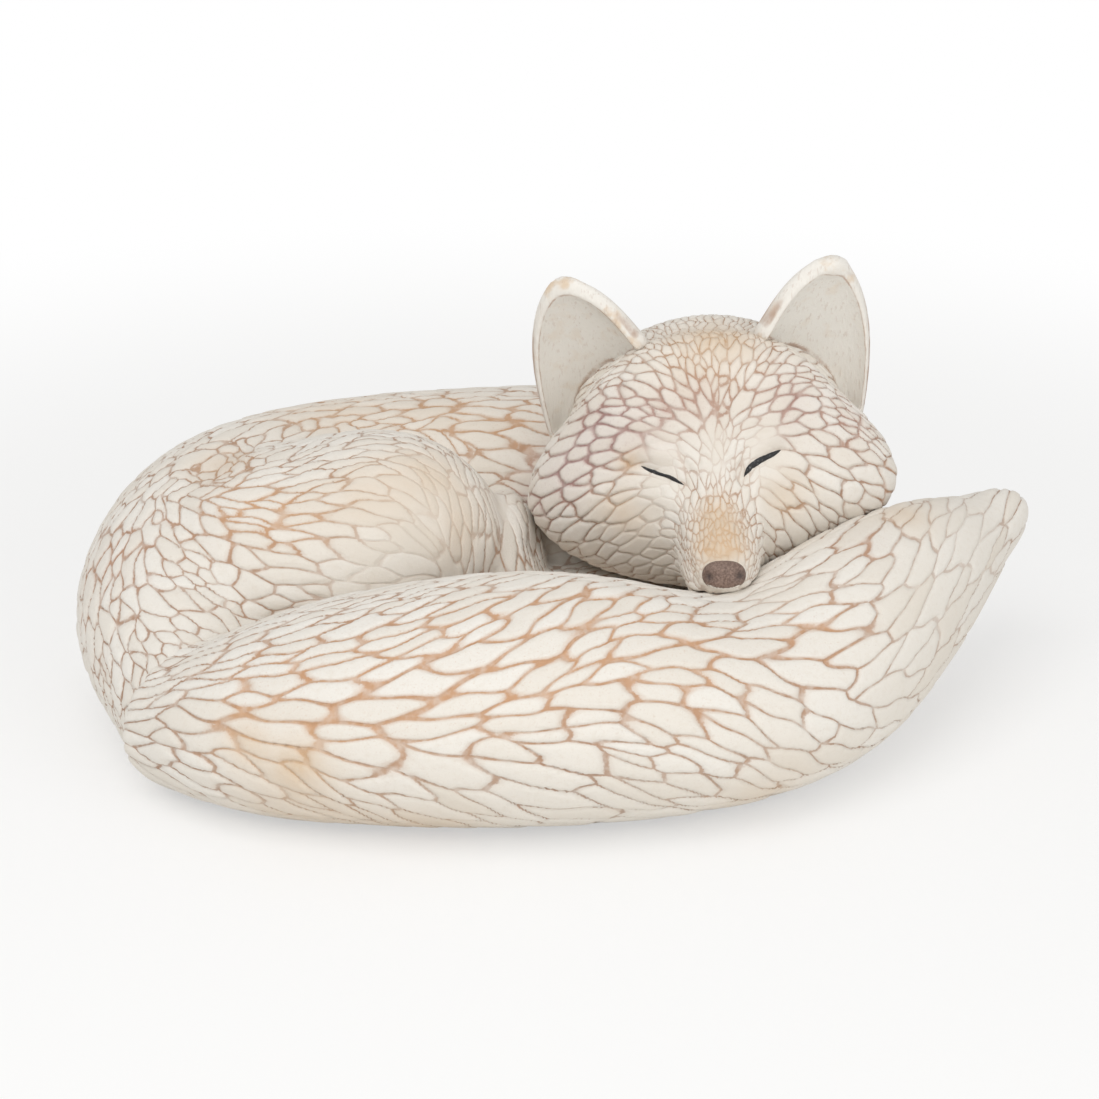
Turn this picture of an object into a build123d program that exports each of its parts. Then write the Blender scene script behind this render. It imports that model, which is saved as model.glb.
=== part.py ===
"""Sleeping fox figurine, curled up with its tail drawn round its front and its chin on the tail.

Cast pieces bonded together: a hollow body, the tail, the head and two ears, with a plate that
closes the body's underside, dowels inside the bonds and small round pads to stand on.
Millimetres. X runs to the right of the face as it is looked at, -Y to the front, +Z up.
The origin is on the table under the middle of the figure.
"""

import os
from math import sqrt

from build123d import *

# Whole figure. The forms are in proportion to its length, so that they keep their place against each other.
figure_length = 286.0
figure_depth = 0.727 * figure_length
bond_gap = 0.3
overrun = 15.0

# Back, which curls round from the neck to the rump
back_height = 0.266 * figure_length
back_width = 0.266 * figure_length

# Joint where the tail is bonded to the rump
joint_height = 0.150 * figure_length
joint_width = 0.189 * figure_length

# Tail
tail_height = 0.238 * figure_length
tail_width = 0.280 * figure_length

# Haunch
haunch_height = 0.280 * figure_length
haunch_width = 0.266 * figure_length

# Belly inside the curl, and the folded foreleg that stands up from it behind the haunch
belly_length = 0.594 * figure_length
belly_depth = 0.350 * figure_length
belly_height = 0.133 * figure_length
foreleg_length = 0.091 * figure_length
foreleg_depth = 0.189 * figure_length
foreleg_height = 0.213 * figure_length

# Head, a skull with the face and muzzle in front of it
skull_width = 0.290 * figure_length
skull_height = 0.252 * figure_length
skull_length = 0.217 * figure_length
head_width = 0.392 * figure_length
head_height = 0.266 * figure_length
head_length = 0.350 * figure_length
head_centre_height = 0.233 * figure_length
head_pitch = 10.0
head_roll = 5.0
nose_width = 0.049 * figure_length
nose_height = 0.038 * figure_length
nose_depth = 0.031 * figure_length

# Ears
ear_height = 0.147 * figure_length
ear_width = 0.129 * figure_length
ear_depth = 0.070 * figure_length
ear_wall = 2.4
ear_splay = 12.0
ear_turn = 15.0

# Hollow of the body, and the plate that closes it from below
casting_wall = 7.0
plate_length = 0.385 * figure_length
plate_depth = 0.196 * figure_length
plate_thickness = 3.0
plate_ledge = 3.0
plate_clearance = 0.3

# Pads on the underside
pad_diameter = 10.0
pad_height = 1.6
pad_bond_gap = 0.05

# Dowels
pin_diameter = 6.0
pin_length = 22.0
pin_spacing = 18.0
pin_clearance = 0.1

# Stations along the back from the neck to the rump. Place in shares of half the figure's length,
# half its depth and the back's height, then half width and half height in shares of the back's own.
back_station_shares = [
    (0.381, 0.137, 0.526, 0.395, 0.500),
    (0.402, 0.367, 0.553, 0.447, 0.553),
    (0.304, 0.560, 0.546, 0.500, 0.546),
    (0.115, 0.627, 0.520, 0.500, 0.520),
    (-0.185, 0.617, 0.509, 0.500, 0.509),
    (-0.500, 0.512, 0.505, 0.500, 0.503),
    (-0.717, 0.233, 0.487, 0.487, 0.487),
    (-0.759, -0.065, 0.414, 0.447, 0.414),
    (-0.738, -0.287, 0.336, 0.375, 0.336),
]
joint_share = (-0.703, -0.460, 0.490)

# Stations along the tail from past the joint to the tip, in the same kind of shares
tail_station_shares = [
    (-0.549, -0.565, 0.382, 0.425, 0.397),
    (-0.318, -0.613, 0.456, 0.475, 0.471),
    (-0.080, -0.613, 0.485, 0.500, 0.500),
    (0.150, -0.565, 0.449, 0.487, 0.463),
    (0.339, -0.479, 0.412, 0.450, 0.412),
    (0.514, -0.306, 0.463, 0.388, 0.434),
    (0.661, -0.075, 0.551, 0.312, 0.404),
    (0.787, 0.127, 0.618, 0.225, 0.309),
    (0.899, 0.300, 0.676, 0.138, 0.169),
    (0.965, 0.387, 0.710, 0.075, 0.103),
    (0.986, 0.411, 0.718, 0.037, 0.050),
]

# Stations along the haunch from the rump to the knee, in the same kind of shares
haunch_station_shares = [
    (-0.850, 0.098, 0.425, 0.263, 0.275),
    (-0.724, 0.098, 0.475, 0.474, 0.400),
    (-0.570, 0.098, 0.512, 0.579, 0.456),
    (-0.423, 0.098, 0.522, 0.566, 0.506),
    (-0.318, 0.088, 0.500, 0.500, 0.500),
    (-0.255, 0.079, 0.456, 0.395, 0.412),
    (-0.213, 0.069, 0.400, 0.263, 0.300),
    (-0.189, 0.060, 0.362, 0.132, 0.163),
]

belly_share = (-0.024, 0.194)
foreleg_share = (-0.114, 0.194, 0.500)
head_share = (0.311, 0.156)

# Stations of the face from inside the skull to the muzzle. Place forward in shares of the head's length,
# half width in shares of its width, then lift of the centre, rise and drop in shares of its height.
# The last share says how far the sides of the brow slope in towards the crown, from round to steep.
head_station_shares = [
    (-0.180, 0.400, 0.000, 0.558, 0.335, 1.000),
    (-0.090, 0.455, 0.000, 0.605, 0.382, 1.000),
    (0.000, 0.487, 0.000, 0.645, 0.395, 1.000),
    (0.100, 0.455, 0.020, 0.546, 0.395, 0.900),
    (0.180, 0.348, 0.026, 0.388, 0.355, 0.700),
    (0.260, 0.214, 0.000, 0.257, 0.276, 0.400),
    (0.340, 0.125, -0.013, 0.184, 0.204, 0.100),
    (0.440, 0.100, -0.013, 0.151, 0.164, 0.000),
    (0.540, 0.080, 0.000, 0.112, 0.125, 0.000),
    (0.580, 0.065, 0.000, 0.086, 0.096, 0.000),
]
# Points of the brow's outline: height in shares of the rise, half width in shares where it's steep
brow_point_shares = [
    (0.220, 0.930),
    (0.500, 0.740),
    (0.860, 0.450),
]
skull_forward_share = -0.140
skull_lift_share = 0.120
nose_forward_share = 0.560
nose_lift_share = 0.040

# Stations up an ear: place in shares of its height, half width and half depth in shares of its own,
# then how far the station stands outward in shares of its width
ear_station_shares = [
    (-0.600, 0.480, 0.450, 0.000),
    (-0.250, 0.560, 0.500, -0.030),
    (0.000, 0.570, 0.500, -0.050),
    (0.250, 0.540, 0.450, -0.050),
    (0.500, 0.460, 0.370, -0.030),
    (0.750, 0.340, 0.260, -0.020),
    (0.900, 0.220, 0.170, -0.010),
    (0.980, 0.120, 0.090, 0.000),
]
ear_across_share = 0.268
ear_lift_share = 0.325
ear_forward_share = -0.098

# Places of the pads and of the neck's dowels in shares of half the figure's length and depth
pad_place_shares = [
    (-0.759, -0.190),
    (-0.178, -0.594),
    (0.129, -0.556),
    (0.381, 0.463),
    (-0.514, 0.540),
]
neck_pin_shares = [
    (0.325, 0.348),
    (0.423, 0.310),
]
neck_pin_height = 0.168 * figure_length


def place(shares, height=0.0):
    """Point in the figure from shares of half its length, half its depth and a height."""
    x_share, y_share, z_share = (*shares, 0.0)[:3]
    return Vector(x_share * figure_length / 2, y_share * figure_depth / 2, z_share * height)


def stations(rows, width, height):
    """Centre, half width and half height of each row of shares."""
    return [(place(row[:3], height), row[3] * width, row[4] * height) for row in rows]


def oval(plane, half_width, rise, drop):
    """Face of two half ellipses that share the plane's X axis, one above it and one below."""
    upper = EllipticalCenterArc((0, 0), half_width, rise, 0, arc_size=180)
    lower = EllipticalCenterArc((0, 0), half_width, drop, 180, arc_size=180)
    return plane * make_face([upper, lower])


def cross_planes(centres):
    """Plane across a curved line at each of its points, upright in the view from the side."""
    last = len(centres) - 1
    planes = []
    for index, centre in enumerate(centres):
        ahead = centres[min(index + 1, last)] - centres[max(index - 1, 0)]
        planes.append(Plane(centre, x_dir=ahead.cross(Vector(0, 0, 1)), z_dir=ahead))
    return planes


def spine():
    """Plane, half width and half height of every station from the neck, past the joint, to the tip."""
    rows = stations(back_station_shares, back_width, back_height)
    rows.append((place(joint_share, joint_height), joint_width / 2, joint_height / 2))
    rows.extend(stations(tail_station_shares, tail_width, tail_height))
    planes = cross_planes([centre for centre, _, _ in rows])
    return [(plane, *row[1:]) for plane, row in zip(planes, rows)]


def curled_form(rows, outset=0.0, start_shift=0.0):
    """Solid through stations, thicker all round by the outset, its first station moved ahead."""
    sections = []
    for index, (plane, half_width, half_height) in enumerate(rows):
        section_plane = plane.offset(start_shift) if index == 0 else plane
        rise = half_height + outset
        sections.append(oval(section_plane, half_width + outset, rise, rise))
    return loft(sections)


def above(level, shape):
    """What a shape has above a level."""
    size = shape.bounding_box().size
    middle = shape.bounding_box().center()
    keeper = Box(
        size.X + overrun,
        size.Y + overrun,
        size.Z + overrun,
        align=(Align.CENTER, Align.CENTER, Align.MIN),
    )
    return shape & Pos(middle.X, middle.Y, level) * keeper


def tail_form(outset=0.0, start_shift=0.0):
    return curled_form(spine()[len(back_station_shares) :], outset, start_shift)


def back_form():
    return curled_form(spine()[: len(back_station_shares) + 1])


def haunch_form(outset=0.0):
    rows = stations(haunch_station_shares, haunch_width, haunch_height)
    planes = cross_planes([centre for centre, _, _ in rows])
    return curled_form([(plane, *row[1:]) for plane, row in zip(planes, rows)], outset)


def egg(size, outset=0.0):
    """Ellipsoid of three sizes, larger all round by the outset."""
    width, depth, height = (length + 2 * outset for length in size)
    return scale(Sphere(width / 2), by=(1, depth / width, height / width))


def belly_form(outset=0.0):
    return Location(place(belly_share)) * egg((belly_length, belly_depth, 2 * belly_height), outset)


def foreleg_form():
    centre = place(foreleg_share, foreleg_height)
    return Location(centre) * egg((foreleg_length, foreleg_depth, foreleg_height))


def head_frame():
    """Frame at the head's centre: X across the face, Y up the face, Z forward along the muzzle."""
    centre = place(head_share) + Vector(0, 0, head_centre_height)
    return Location(centre) * Rot(0, -head_roll, 0) * Rot(90 + head_pitch, 0, 0)


def on_head(forward_share, lift_share, shape):
    """Shape moved to its place forward along the head and up the face."""
    return head_frame() * Pos(0, lift_share * head_height, forward_share * head_length) * shape


def head_section(half_width, rise, drop, steep_share):
    """Face across the head: a half ellipse below, and above it a brow that is round or steep."""
    right_side = []
    for high_share, steep_half_share in brow_point_shares:
        round_half_share = sqrt(1 - high_share**2)
        half_share = round_half_share + steep_share * (steep_half_share - round_half_share)
        right_side.append((half_share * half_width, high_share * rise))
    left_side = [(-across, up) for across, up in reversed(right_side)]
    brow = Spline((half_width, 0), *right_side, (0, rise), *left_side, (-half_width, 0))
    chin = EllipticalCenterArc((0, 0), half_width, drop, 180, arc_size=180)
    return make_face([brow, chin])


def head_form(outset=0.0):
    """Skull with the face and muzzle along the head's forward axis."""
    sections = []
    for forward_share, half_share, lift_share, rise_share, drop_share, steep_share in head_station_shares:
        section = head_section(
            half_share * head_width + outset,
            rise_share * head_height + outset,
            drop_share * head_height + outset,
            steep_share,
        )
        sections.append(on_head(forward_share, lift_share, section))
    skull = egg((skull_width, skull_height, skull_length), outset)
    return on_head(skull_forward_share, skull_lift_share, skull) + loft(sections)


def make_nose():
    return on_head(nose_forward_share, nose_lift_share, egg((nose_width, nose_height, nose_depth)))


def ear_form(side, width, depth, height):
    sections = []
    for along_share, half_width_share, half_depth_share, outward_share in ear_station_shares:
        half_depth = half_depth_share * depth
        plane = Plane((side * outward_share * width, 0, along_share * height))
        sections.append(oval(plane, half_width_share * width, half_depth, half_depth))
    return loft(sections)


def make_ear(side):
    """Ear with a hollow front; the side is -1 for the one on the left of the view, 1 for the right."""
    outside = ear_form(side, ear_width, ear_depth, ear_height)
    hollow = ear_form(side, ear_width - 2 * ear_wall, ear_depth, ear_height - ear_wall)
    cup = outside - Pos(0, -2 * ear_wall, 0) * hollow
    root = Pos(
        side * ear_across_share * head_width,
        ear_lift_share * head_height,
        ear_forward_share * head_length,
    )
    turned = Rot(0, 0, -side * ear_splay) * Rot(-90, 0, 0) * Rot(0, 0, side * ear_turn)
    return head_frame() * root * turned * cup - head_form(bond_gap)


def plate_oval(inset):
    return Ellipse(plate_length / 2 - inset, plate_depth / 2 - inset)


def make_plate():
    """Oval plate that lies in its pocket in the body's underside."""
    return Location(place(belly_share) + Vector(0, 0, pad_height)) * extrude(
        plate_oval(plate_clearance), plate_thickness
    )


def plate_opening():
    """Pocket for the plate, with the smaller opening above the ledge that it lies against."""
    pocket = extrude(plate_oval(0), pad_height + plate_thickness + plate_clearance)
    opening = extrude(plate_oval(plate_ledge), pad_height + plate_thickness + 2 * casting_wall)
    return Location(place(belly_share)) * (pocket + opening)


def body_hollow():
    """Room inside the body, which leaves out the neck and the rump's end."""
    back_rows = spine()[3 : len(back_station_shares) - 1]
    inside = curled_form(back_rows, -casting_wall) + belly_form(-casting_wall)
    inside += haunch_form(-casting_wall)
    floor_level = pad_height + plate_thickness + casting_wall
    room = above(floor_level, inside) - tail_form(casting_wall) - head_form(casting_wall)
    return room + plate_opening()


def make_pads():
    pad = Cylinder(
        pad_diameter / 2,
        pad_height - pad_bond_gap,
        align=(Align.CENTER, Align.CENTER, Align.MIN),
    )
    return [Location(place(shares)) * pad for shares in pad_place_shares]


def pin_places():
    """Middle of every dowel, with its Z axis along the dowel."""
    neck = [Location(place(shares) + Vector(0, 0, neck_pin_height)) for shares in neck_pin_shares]
    joint = Location(spine()[len(back_station_shares)][0])
    return neck + [joint * Pos(side * pin_spacing / 2, 0, 0) for side in (-1, 1)]


def pins(clearance=0.0):
    pin = Cylinder(pin_diameter / 2 + clearance, pin_length + 2 * clearance)
    return [location * pin for location in pin_places()]


def write(name, shape):
    export_step(shape, f"parts/{name}.step")


def build():
    os.makedirs("parts", exist_ok=True)
    pin_holes = Compound(pins(pin_clearance))
    tail = above(pad_height, tail_form(start_shift=bond_gap)) - pin_holes
    head = head_form() + make_nose() - tail_form(bond_gap) - pin_holes
    trunk = above(pad_height, back_form() + haunch_form() + belly_form() + foreleg_form())
    body = trunk - tail_form(bond_gap, bond_gap / 2) - head_form(bond_gap) - body_hollow() - pin_holes
    write("body_shell", body)
    write("tail_casting", tail)
    write("head_casting", head)
    write("ear_left", make_ear(-1))
    write("ear_right", make_ear(1))
    write("base_plate", make_plate())
    write("foot_pads", Compound(make_pads()))
    write("bond_pins", Compound(pins()))


build()
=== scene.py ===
"""Looks of the sleeping fox figurine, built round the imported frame.

The castings are covered with carved fur tufts that follow strokes read off the photo. The face is
sculpted from points read off the photo, and the paint is a wash that has run into the grooves.
"""

import math

import bmesh
import bpy
import numpy as np
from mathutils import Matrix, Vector
from mathutils.bvhtree import BVHTree
from mathutils.kdtree import KDTree


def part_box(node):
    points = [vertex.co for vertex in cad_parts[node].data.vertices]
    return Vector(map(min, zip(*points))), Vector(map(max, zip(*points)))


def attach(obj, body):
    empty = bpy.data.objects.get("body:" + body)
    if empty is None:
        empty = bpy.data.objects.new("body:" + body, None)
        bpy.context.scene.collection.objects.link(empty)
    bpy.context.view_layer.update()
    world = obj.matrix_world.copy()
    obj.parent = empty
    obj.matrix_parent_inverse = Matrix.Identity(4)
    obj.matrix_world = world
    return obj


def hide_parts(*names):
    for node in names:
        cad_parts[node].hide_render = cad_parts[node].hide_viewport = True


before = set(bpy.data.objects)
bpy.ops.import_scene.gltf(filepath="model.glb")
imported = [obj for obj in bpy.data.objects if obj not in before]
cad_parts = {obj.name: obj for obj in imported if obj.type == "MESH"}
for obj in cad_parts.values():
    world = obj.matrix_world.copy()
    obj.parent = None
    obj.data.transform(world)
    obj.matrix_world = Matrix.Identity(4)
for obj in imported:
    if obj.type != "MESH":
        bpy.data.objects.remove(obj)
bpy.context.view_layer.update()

MM = 0.001

# Camera of the photo
PHOTO_PIXELS = 1099
LENS = 100.0
SENSOR = 36.0
CAMERA_DISTANCE = 0.868
CAMERA_RISE = math.radians(22.0)
CAMERA_TARGET = Vector((-0.0035, -0.0258, 0.0620))
CAMERA_RIGHT = np.array((1.0, 0.0, 0.0))
CAMERA_UP = np.array((0.0, math.sin(CAMERA_RISE), math.cos(CAMERA_RISE)))
CAMERA_BACK = np.array((0.0, -math.cos(CAMERA_RISE), math.sin(CAMERA_RISE)))

# Width of one of the photo's pixels, a metre away from the camera and at the figure
PIXEL_AT_A_METRE = SENSOR / LENS / PHOTO_PIXELS
PIXEL = CAMERA_DISTANCE * SENSOR / LENS / PHOTO_PIXELS

# Spacing of the points of each skin, and the rounds that smooth it once it is made
BODY_SPACING = 1.3 * MM
TAIL_SPACING = 1.05 * MM
HEAD_SPACING = 0.68 * MM
EAR_SPACING = 0.5 * MM
BODY_ROUNDS = 10
TAIL_ROUNDS = 6
HEAD_ROUNDS = 8
EAR_ROUNDS = 14
SMOOTHING_SHARE = 0.5

# Distances within which points are joined to one, and a length too small to divide by
MERGE_DISTANCE = MM / 100
NOSE_MERGE_DISTANCE = MM / 1000
TINY = 1e-12

# Joint between the rump and the tail, and how far the tail's skin runs on into the rump
JOINT_CENTRE = Vector((-0.1005, -0.0478, 0.0211))
JOINT_AHEAD = Vector((0.68, -0.73, 0.0)).normalized()
JOINT_REACH = 1.0 * MM
JOINT_SPAN = 40.0 * MM
JOINT_OVERLAP = 4.0 * MM

# Recess of the plate in the body's underside: its depth, where its wall lies in shares of the plate's half
# sizes, how far it may stand over the plate, and how far from upright its faces may be
RECESS_DEPTH = 3.3 * MM
WALL_INNER_SHARE = 0.995
WALL_OUTER_SHARE = 1.03
WALL_TOP_SLACK = 1.0 * MM
WALL_LEAN_LIMIT = 0.5

# Strokes of the fur in the photo's pixels, from root to tip: tuft length and width in millimetres first
BODY_STROKES = [
    (13, 5.5, [(540, 395), (440, 392), (330, 402), (240, 425), (170, 460)]),
    (13, 5.5, [(543, 420), (480, 414), (430, 418)]),
    (12, 5.5, [(540, 448), (505, 440)]),
    (9, 5.5, [(300, 425), (262, 440), (232, 455)]),
    (9, 5.5, [(172, 460), (122, 510), (92, 570), (86, 640), (95, 700), (122, 750)]),
    (9, 5.5, [(185, 482), (150, 522), (128, 570), (125, 620), (140, 660)]),
    (9, 5.0, [(200, 462), (214, 452), (232, 455), (240, 470), (225, 482), (203, 483), (190, 470)]),
    (12, 5.0, [
        (225, 483), (277, 455), (337, 435), (390, 430), (435, 440), (463, 470), (478, 510), (482, 550),
    ]),
    (12, 5.0, [
        (222, 492), (283, 480), (323, 468), (357, 460), (403, 456), (432, 477), (450, 513), (455, 550),
    ]),
    (14, 5.0, [(215, 503), (257, 517), (303, 520), (347, 517), (387, 517), (415, 540)]),
    (12, 5.5, [(175, 503), (203, 530), (237, 543), (287, 560), (337, 570), (387, 572), (430, 575)]),
    (9, 6.0, [(155, 530), (180, 557), (220, 583), (270, 600), (320, 600)]),
    (9, 6.0, [(140, 590), (165, 610), (200, 620)]),
]
TAIL_STROKES = [
    (15, 5.0, [(160, 668), (237, 641), (337, 614), (420, 591), (503, 574), (545, 572)]),
    (17, 6.0, [(165, 683), (230, 668), (300, 650), (370, 630), (440, 607), (500, 588)]),
    (18, 6.5, [(170, 697), (240, 690), (320, 680), (400, 655), (470, 627), (530, 600), (570, 580)]),
    (18, 7.0, [
        (180, 715), (250, 712), (330, 712), (410, 700), (470, 683), (530, 655), (575, 622), (600, 595),
    ]),
    (18, 7.0, [(400, 720), (460, 712), (520, 700), (570, 678), (610, 640), (650, 600)]),
    (18, 7.0, [
        (200, 735), (260, 737), (330, 742), (390, 737), (450, 730), (520, 718), (580, 702), (650, 690),
    ]),
    (20, 7.5, [(300, 752), (380, 752), (460, 750), (540, 742), (620, 735), (690, 745)]),
    (18, 7.0, [(190, 722), (230, 745), (280, 773), (320, 800)]),
    (18, 7.0, [(230, 727), (283, 757), (330, 787), (370, 812)]),
    (20, 7.5, [(300, 738), (363, 752), (437, 787), (490, 815)]),
    (20, 7.5, [(497, 760), (583, 783), (640, 805)]),
    (19, 7.0, [(583, 703), (657, 727), (727, 757), (760, 775)]),
    (19, 7.0, [(540, 747), (607, 770), (683, 793)]),
    (18, 7.0, [(650, 663), (730, 680), (773, 703), (830, 735)]),
    (18, 7.0, [(687, 710), (760, 747)]),
    (17, 7.0, [(767, 683), (833, 720)]),
    (17, 7.0, [(653, 650), (733, 640), (790, 627)]),
    (17, 7.0, [(737, 653), (793, 668), (857, 677), (903, 690)]),
    (15, 7.0, [(617, 630), (667, 627), (700, 622)]),
    (15, 6.5, [(603, 610), (647, 583)]),
    (15, 6.5, [(640, 593), (683, 597)]),
    (16, 7.0, [(793, 613), (850, 603), (883, 590)]),
    (18, 7.0, [(837, 660), (887, 623), (913, 583), (925, 545)]),
    (20, 6.0, [(877, 668), (917, 610), (945, 555), (970, 510)]),
    (22, 6.0, [(893, 690), (940, 625), (983, 560), (1013, 512)]),
]
HEAD_STROKES = [
    (5.0, 3.0, [(715, 405), (713, 370), (712, 340), (712, 324)]),
    (5.0, 3.0, [(700, 405), (688, 370), (672, 345), (660, 332)]),
    (5.0, 3.0, [(735, 405), (745, 370), (757, 345), (765, 332)]),
    (6.0, 3.5, [(690, 410), (665, 387), (645, 372), (625, 370), (600, 385)]),
    (6.0, 3.5, [(745, 410), (770, 387), (795, 372), (820, 380)]),
    (6.5, 4.0, [(690, 425), (650, 417), (610, 412), (580, 422), (550, 442)]),
    (8.0, 5.0, [(640, 440), (600, 445), (560, 465), (532, 490)]),
    (9.0, 5.5, [(630, 480), (600, 490), (565, 510), (540, 522)]),
    (9.0, 5.0, [(640, 510), (610, 527), (585, 548), (562, 562)]),
    (6.5, 4.0, [(750, 425), (790, 415), (830, 412), (860, 425), (880, 445)]),
    (9.0, 5.0, [(790, 437), (830, 447), (870, 457), (898, 470)]),
    (11.0, 5.0, [(800, 460), (830, 477), (860, 497), (878, 520)]),
    (11.0, 4.5, [(795, 487), (817, 510), (835, 540), (843, 562)]),
    (9.0, 4.0, [(770, 510), (785, 530), (800, 555)]),
    (3.5, 2.0, [(724, 546), (722, 510), (720, 470), (718, 430)]),
    (3.5, 2.0, [(706, 550), (703, 515), (702, 480)]),
    (3.5, 2.0, [(742, 550), (744, 515), (742, 480)]),
]

# Strokes on the sides that the photo doesn't show, in millimetres
HIDDEN_BODY_STROKES = [
    (14, 6.5, [(55, 55, 74), (20, 65, 76), (-28, 64, 74), (-75, 52, 72), (-108, 25, 66), (-120, -5, 52)]),
    (15, 7.0, [(68, 62, 55), (40, 90, 50), (-25, 102, 45), (-85, 85, 45), (-128, 40, 40), (-140, 0, 35)]),
    (16, 7.5, [(75, 50, 25), (45, 85, 18), (-25, 95, 15), (-85, 80, 15), (-125, 35, 15), (-130, -10, 12)]),
]
HIDDEN_TAIL_STROKES = [
    (18, 7.0, [(-60, -75, 5), (0, -85, 5), (55, -60, 5), (90, -20, 8)]),
    (20, 7.0, [(85, -8, 30), (105, 15, 38), (125, 30, 44)]),
]
HIDDEN_HEAD_STROKES = [
    (7.0, 4.0, [(44, 20, 112), (46, 40, 100), (48, 55, 80)]),
    (8.0, 4.5, [(20, 20, 105), (5, 35, 85), (5, 40, 65)]),
    (8.0, 4.5, [(70, 20, 108), (88, 35, 88), (90, 40, 68)]),
    (9.0, 5.0, [(-8, 5, 70), (-5, 25, 60)]),
    (9.0, 5.0, [(100, 5, 78), (98, 25, 66)]),
]

# Forms raised from or pressed into the skins, in the photo's pixels: place, half sizes and lean in degrees,
# then the height in millimetres
FACE_SWELLS = [
    (662, 455, 25, 10, 8, 1.2),
    (765, 441, 24, 10, -32, 1.1),
    (640, 470, 16, 9, 10, -0.6),
    (688, 486, 11, 12, 20, -1.4),
    (742, 476, 9, 12, -20, -1.3),
    (784, 452, 16, 9, -30, -0.5),
    (660, 497, 26, 12, 12, 0.9),
    (775, 478, 26, 14, -20, 0.9),
    (716, 450, 18, 26, 0, 0.7),
    (722, 520, 26, 34, 0, 1.3),
    (690, 530, 9, 26, -8, 0.9),
    (757, 530, 9, 26, 8, 0.9),
    (668, 556, 16, 12, 20, -0.8),
    (590, 500, 40, 34, 0, 1.0),
    (835, 490, 40, 40, 0, 1.2),
    (724, 588, 30, 10, 0, 0.7),
]
BODY_SWELLS = [
    (217, 470, 26, 12, -15, -1.6),
    (260, 620, 110, 10, -3, -0.8),
    (440, 545, 14, 22, 0, 0.8),
    (545, 545, 22, 20, 0, -2.5),
]
TAIL_SWELLS = [
    (610, 592, 60, 8, 12, 0.8),
    (720, 612, 50, 12, 0, -0.8),
]
EAR_TIPS = [
    (562, 278, 13, 9, 0, 1.6),
    (833, 264, 13, 9, 0, 1.6),
]

# Creases of the face: half width in pixels, depth in millimetres, then the line
FACE_CREASES = [
    (3.5, 0.55, [(630, 464), (640, 449), (660, 442), (679, 450), (690, 472)]),
    (3.5, 0.5, [(741, 470), (745, 451), (760, 434), (786, 428)]),
    (3.0, 0.6, [(641, 467), (660, 475), (684, 486)]),
    (3.5, 0.7, [(744, 478), (750, 468), (765, 458), (782, 450)]),
    (3.0, 0.5, [(690, 560), (696, 585), (708, 598), (724, 602), (742, 598), (752, 584), (756, 565)]),
]

# Step between the brow and the skull, which the fur covers: half width in pixels, then the line, and the
# rounds that smooth it
CROWN_STEP = (15, [(618, 372), (640, 345), (668, 331), (705, 326), (745, 331), (770, 345), (800, 378)])
CROWN_ROUNDS = 220

# Black lines of the closed eyes: half widths along the line in pixels, then the line
EYE_LINES = {
    "left_eye_line": (
        [0.8, 2.0, 2.4, 1.8, 2.4, 1.0],
        [(641, 466), (649, 470), (660, 474), (670, 477), (684, 485)],
    ),
    "right_eye_line": (
        [1.0, 3.2, 4.0, 3.6, 2.8, 1.2],
        [(744, 477), (750, 467), (760, 460), (771, 455), (781, 450)],
    ),
}

# Nose pad in the photo's pixels
NOSE_PLACE = (724, 575)
NOSE_HALF = (22.0, 16.0)
NOSTRILS = ((709, 576), (740, 575))
NOSTRIL_RADIUS = 4.5

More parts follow.
